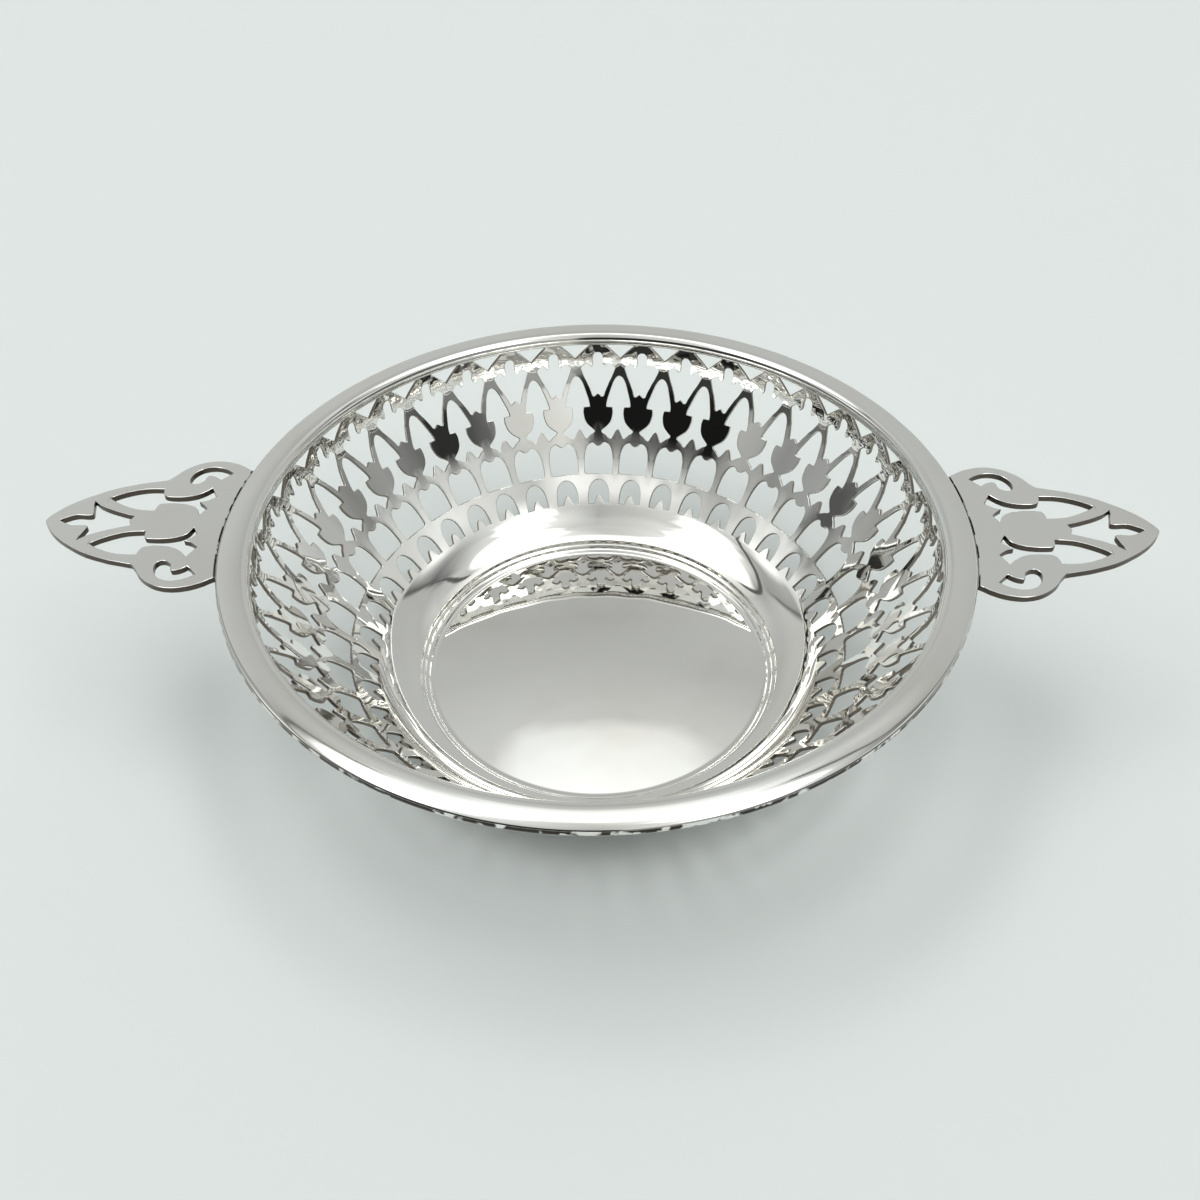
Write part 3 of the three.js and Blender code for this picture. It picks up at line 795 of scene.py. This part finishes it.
class SILVER_OT_handles(bpy.types.Operator):
    """Build the two pierced handles with rounded edges"""

    bl_idname = "silver.handles"
    bl_label = "Handles"

    def execute(self, context):
        sizes = context.scene.bowl_handles
        rim = RIM_BOX[1].x / MM
        top = HANDLE_BOX[1].z / MM
        for name, node, turn in (("lug_right", "handle_right", 0.0), ("lug_left", "handle_left", math.pi)):
            bm = flat_handle(rim, sizes.thickness / MM)
            highest = max(vert.co.z for vert in bm.verts)
            bmesh.ops.translate(bm, verts=bm.verts, vec=(rim, 0, top - highest))
            bmesh.ops.bevel(
                bm, geom=[edge for edge in bm.edges if is_rim_of_cut(edge)], offset=sizes.edge / MM,
                affect="EDGES", segments=2, profile=0.5, material=-1, face_strength_mode="ALL")
            bmesh.ops.rotate(bm, verts=bm.verts, cent=(0, 0, 0), matrix=Matrix.Rotation(turn, 3, "Z"))
            finished_piece(
                bm, name, node, ("rubbed_silver", "filed_tarnish_dark_reflection"),
                crease=math.radians(50))
        return {"FINISHED"}


def flat_handle(rim, thickness):
    """Pierced plate from the rim, at x = 0, out along X. Its file-finished sides have the second material,
    whose dark is partly tarnish and partly painted dark reflection.
    """
    bm = bmesh.new()
    edges = add_outline(bm, half_handle(rim))
    for opening in HANDLE_OPENINGS:
        edges += add_outline(bm, traced(opening, bend=8, flipped=1))
    bmesh.ops.triangle_fill(bm, edges=edges, use_beauty=True)
    columns = [HANDLE_CELL * i for i in range(15)]
    cut_into_cells(bm, columns, columns[1:8])
    bmesh.ops.solidify(bm, geom=bm.faces[:], thickness=thickness)
    open_sides = [face for face in bm.faces if lies_in_plane(face, 1, 0.0)]
    bmesh.ops.delete(bm, geom=open_sides, context="FACES")
    bmesh.ops.mirror(bm, geom=bm.verts[:] + bm.edges[:] + bm.faces[:], axis="Y", merge_dist=PLANE_GAP)
    bmesh.ops.remove_doubles(bm, verts=bm.verts, dist=LINE_GAP)
    bmesh.ops.recalc_face_normals(bm, faces=bm.faces)
    for face in bm.faces:
        face.material_index = int(is_cut_side(face))
    return bm


def half_handle(rim):
    """Outline of half a handle, with its root drawn round to lie along the rim."""
    outline = traced(HALF_HANDLE, bend=8, flipped=1)
    seat = rim + SEAT_GAP
    root = math.asin(outline[0].y / seat)
    outline[0].x = seat * math.cos(root) - rim
    last_run = HALF_HANDLE[-1]
    outline.append(Vector(last_run[-2]))
    steps = 8
    return outline + [
        Vector((seat * math.cos(root * i / steps) - rim, seat * math.sin(root * i / steps)))
        for i in range(steps)]


class SILVER_OT_finishes(bpy.types.Operator):
    """Make the silver finishes"""

    bl_idname = "silver.finishes"
    bl_label = "Silver finishes"

    def execute(self, context):
        colours = context.scene.bowl_silver
        silver_material(
            "polished_silver", colours.silver, colours.tarnish, roughness=0.02, marks=0.04, crinkle=0.16)
        silver_material("rubbed_silver", colours.silver, colours.tarnish, roughness=0.06, marks=0.08)
        # The cut sides' darker colours are partly tarnish and partly painted dark reflection
        silver_material("sawn_tarnish_dark_reflection", colours.sawn_tarnish_and_dark_reflection, colours.grime_and_shade, roughness=0.34, marks=0.2)
        silver_material("filed_tarnish_dark_reflection", colours.filed_tarnish_and_dark_reflection, colours.grime_and_shade, roughness=0.25, marks=0.2)
        return {"FINISHED"}


class SILVER_OT_studio(bpy.types.Operator):
    """Set out the pale floor, the soft light and the camera"""

    bl_idname = "silver.studio"
    bl_label = "Studio"

    def execute(self, context):
        scene = context.scene
        settings = scene.bowl_studio
        bm = bmesh.new()
        bmesh.ops.create_circle(bm, cap_ends=True, segments=96, radius=settings.floor_reach)
        stage_piece(bm, "floor", floor_material(settings))

        # The tent is a sphere whose lower half is cut off at the floor
        bm = bmesh.new()
        bmesh.ops.create_uvsphere(bm, u_segments=96, v_segments=48, radius=settings.reach)
        bmesh.ops.bisect_plane(
            bm, geom=bm.verts[:] + bm.edges[:] + bm.faces[:], dist=0.01 * MM, plane_co=(0, 0, 0),
            plane_no=(0, 0, 1), clear_inner=True)
        tent = stage_piece(bm, "light_tent", tent_material(settings))
        tent.visible_camera = False

        world = bpy.data.worlds.new("backdrop")
        world.use_nodes = True
        world.node_tree.nodes.clear()
        background = add_node(world.node_tree, "ShaderNodeBackground", {"Color": (*settings.floor, 1)})
        add_node(world.node_tree, "ShaderNodeOutputWorld", {"Surface": background.outputs[0]})
        scene.world = world
        scene.view_settings.view_transform = "Standard"
        place_camera(scene)
        return {"FINISHED"}


def stage_piece(bm, name, material):
    """Writes a piece of the studio, which isn't part of the bowl."""
    mesh = bpy.data.meshes.new(name)
    bm.to_mesh(mesh)
    bm.free()
    mesh.materials.append(material)
    piece = bpy.data.objects.new(name, mesh)
    bpy.context.scene.collection.objects.link(piece)
    return piece


def floor_material(settings):
    """Matt pale paper, which keeps the bowl's soft shadow."""
    material, tree = new_material("pale_paper")
    shader = add_node(
        tree, "ShaderNodeBsdfPrincipled", {"Base Color": (*settings.floor, 1), "Roughness": 0.9})
    add_node(tree, "ShaderNodeOutputMaterial", {"Surface": shader.outputs[0]})
    return material


def tent_material(settings):
    """Glowing cloth of the tent, which the silver mirrors.

    Silver shows what stands round it, so the cloth is sewn in rings and rows, each with light and dark
    stretches that run softly into the next, and a dark cord lies in two of its seams.
    """
    material, tree = new_material("tent_cloth")
    place = add_node(tree, "ShaderNodeTexCoord").outputs["Object"]
    direction = add_node(tree, "ShaderNodeVectorMath", {0: place}, operation="NORMALIZE").outputs[0]
    apart = add_node(tree, "ShaderNodeSeparateXYZ", {"Vector": direction})
    # Turn from straight behind the bowl, to the right, and height above the floor, both as angles
    turn = add_node(
        tree, "ShaderNodeMath", {0: apart.outputs["X"], 1: apart.outputs["Y"]}, operation="ARCTAN2")
    around = add_node(
        tree, "ShaderNodeMapRange", {"Value": turn.outputs[0], "From Min": -math.pi, "From Max": math.pi})
    climb = add_node(tree, "ShaderNodeMath", {0: apart.outputs["Z"]}, operation="ARCSINE")
    constant, once, squared = (math.radians(degrees) for degrees in ROWS_LINE)
    ahead = add_node(tree, "ShaderNodeMath", {0: turn.outputs[0]}, operation="COSINE").outputs[0]
    bow = add_node(tree, "ShaderNodeMath", {0: ahead, 1: squared, 2: once}, operation="MULTIPLY_ADD")
    line = add_node(
        tree, "ShaderNodeMath", {0: ahead, 1: bow.outputs[0], 2: constant}, operation="MULTIPLY_ADD")
    above = add_node(
        tree, "ShaderNodeMath", {0: climb.outputs[0], 1: line.outputs[0]}, operation="SUBTRACT")

    rings = sewn_cloth(tree, TENT_RINGS, climb.outputs[0], around.outputs[0], settings.cloth)
    rows = sewn_cloth(tree, TENT_ROWS, above.outputs[0], around.outputs[0], settings.cloth)
    rows_start, rows_stop = (math.radians(degrees) for degrees in ROWS_END)
    over_rows = add_node(
        tree, "ShaderNodeMapRange",
        {"Value": above.outputs[0], "From Min": rows_start, "From Max": rows_stop})
    cloth = add_node(tree, "ShaderNodeMix", {0: over_rows.outputs[0], 6: rows, 7: rings}, data_type="RGBA")
    cords = cord_dark(tree, climb.outputs[0], around.outputs[0])
    corded = add_node(
        tree, "ShaderNodeMix", {0: cords, 6: cloth.outputs[2], 7: (*[CORD_SHARE] * 3, 1)},
        data_type="RGBA")
    glow = add_node(
        tree, "ShaderNodeEmission",
        {"Color": corded.outputs[2], "Strength": TENT_BRIGHTEST * settings.light})
    add_node(tree, "ShaderNodeOutputMaterial", {"Surface": glow.outputs[0]})
    # The tent is all round, so every bounce finds it
    material.cycles.emission_sampling = "NONE"
    return material


def sewn_cloth(tree, plan, height, around, tint):
    """Colour of the cloth at a height and a turn, where each ring of the plan runs softly into the next."""
    cloth, below = None, 0
    for above, stretches in plan:
        ring = add_node(tree, "ShaderNodeValToRGB", {"Fac": around})
        set_stops(ring, [
            (degrees, (*[brightness / TENT_BRIGHTEST * channel for channel in tint], 1))
            for degrees, brightness in stretches])
        if cloth is None:
            cloth = ring.outputs[0]
        else:
            rise = add_node(
                tree, "ShaderNodeMapRange",
                {"Value": height, "From Min": math.radians(below), "From Max": math.radians(above)})
            cloth = add_node(
                tree, "ShaderNodeMix", {0: rise.outputs[0], 6: cloth, 7: ring.outputs[0]},
                data_type="RGBA").outputs[2]
        below = above
    return cloth


def cord_dark(tree, climb, around):
    """How much of the cloth the dark cords cover at a height and a turn."""
    # The ramp's colour is a cord's height as a share of 90 degrees, and its alpha ends the cord
    stops = []
    for cord in TENT_CORDS:
        (start, start_height), (end, end_height) = cord[0], cord[-1]
        points = [(start - 1, start_height, 0), *[(*point, 1) for point in cord], (end + 1, end_height, 0)]
        stops += [(degrees, (*[height / 90] * 3, shown)) for degrees, height, shown in points]
    route = add_node(tree, "ShaderNodeValToRGB", {"Fac": around})
    set_stops(route, stops)
    place = add_node(
        tree, "ShaderNodeMath", {0: route.outputs["Color"], 1: math.radians(90)}, operation="MULTIPLY")
    off_cord = add_node(tree, "ShaderNodeMath", {0: climb, 1: place.outputs[0]}, operation="SUBTRACT")
    distance = add_node(tree, "ShaderNodeMath", {0: off_cord.outputs[0]}, operation="ABSOLUTE")
    dark, light = (math.radians(degrees) for degrees in CORD_EDGE)
    thick = add_node(
        tree, "ShaderNodeMapRange", {"Value": distance.outputs[0], "From Min": light, "From Max": dark})
    shown = add_node(
        tree, "ShaderNodeMath", {0: thick.outputs[0], 1: route.outputs["Alpha"]}, operation="MULTIPLY")
    return shown.outputs[0]


def set_stops(ramp, stops):
    """Gives a ramp that runs round the tent its colours, each at so many degrees to the right."""
    elements = ramp.color_ramp.elements
    while len(elements) < len(stops):
        elements.new(0.5)
    for element, (degrees, colour) in zip(elements, stops):
        element.position = (degrees + 180) / 360
        element.color = colour


def place_camera(scene):
    """Camera fitted to the rim, the repeats and the handles of the photograph.

    It stands so far from the middle of the rim, up and round, and is then turned a little in its place.
    """
    distance = 192.997 * MM
    elevation = math.radians(40.2785)
    around = math.radians(2.36)
    yaw, pitch, roll = 0.0022, 0.0630, 0.0175
    back = Vector((0, -math.cos(elevation), math.sin(elevation)))
    right = Vector((1, 0, 0))
    axes = Matrix((right, back.cross(right), back))
    axes = (
        Matrix.Rotation(roll, 3, "Z") @ Matrix.Rotation(pitch, 3, "X") @ Matrix.Rotation(yaw, 3, "Y") @ axes)
    turn = Matrix.Rotation(around, 3, "Z")
    data = bpy.data.cameras.new("view")
    data.lens = 37.565
    data.sensor_width = 36
    data.clip_start = 0.01
    camera = bpy.data.objects.new("view", data)
    scene.collection.objects.link(camera)
    place = turn @ (back * distance) + Vector((0, 0, RIM_BOX[1].z))
    camera.matrix_world = Matrix.Translation(place) @ (turn @ axes.transposed()).to_4x4()
    scene.camera = camera


class SILVER_PT_panel(bpy.types.Panel):
    """Sizes, colours and pieces of the silver bowl"""

    bl_idname = "SILVER_PT_panel"
    bl_label = "Silver bowl"
    bl_space_type = "VIEW_3D"
    bl_region_type = "UI"
    bl_category = "Silver bowl"

    def draw(self, context):
        for group in GROUPS:
            box = self.layout.box()
            settings = getattr(context.scene, group)
            for name in settings.bl_rna.properties.keys():
                if name not in ("rna_type", "name"):
                    box.prop(settings, name)
        for operator in PIECES:
            self.layout.operator(operator.bl_idname)


GROUPS = {
    "bowl_sizes": BowlSizes,
    "bowl_handles": HandleSizes,
    "bowl_silver": SilverColours,
    "bowl_studio": StudioSettings,
}
PIECES = (
    SILVER_OT_finishes,
    SILVER_OT_bowl_body,
    SILVER_OT_rim_moulding,
    SILVER_OT_foot_ring,
    SILVER_OT_handles,
    SILVER_OT_studio,
)


def register():
    for cls in (*GROUPS.values(), *PIECES, SILVER_PT_panel):
        bpy.utils.register_class(cls)
    for name, group in GROUPS.items():
        setattr(bpy.types.Scene, name, PointerProperty(type=group))


def unregister():
    for name in GROUPS:
        delattr(bpy.types.Scene, name)
    for cls in reversed((*GROUPS.values(), *PIECES, SILVER_PT_panel)):
        bpy.utils.unregister_class(cls)


def main():
    register()
    bpy.ops.silver.finishes()
    bpy.ops.silver.bowl_body()
    bpy.ops.silver.rim_moulding()
    bpy.ops.silver.foot_ring()
    bpy.ops.silver.handles()
    bpy.ops.silver.studio()


if __name__ == "__main__":
    main()
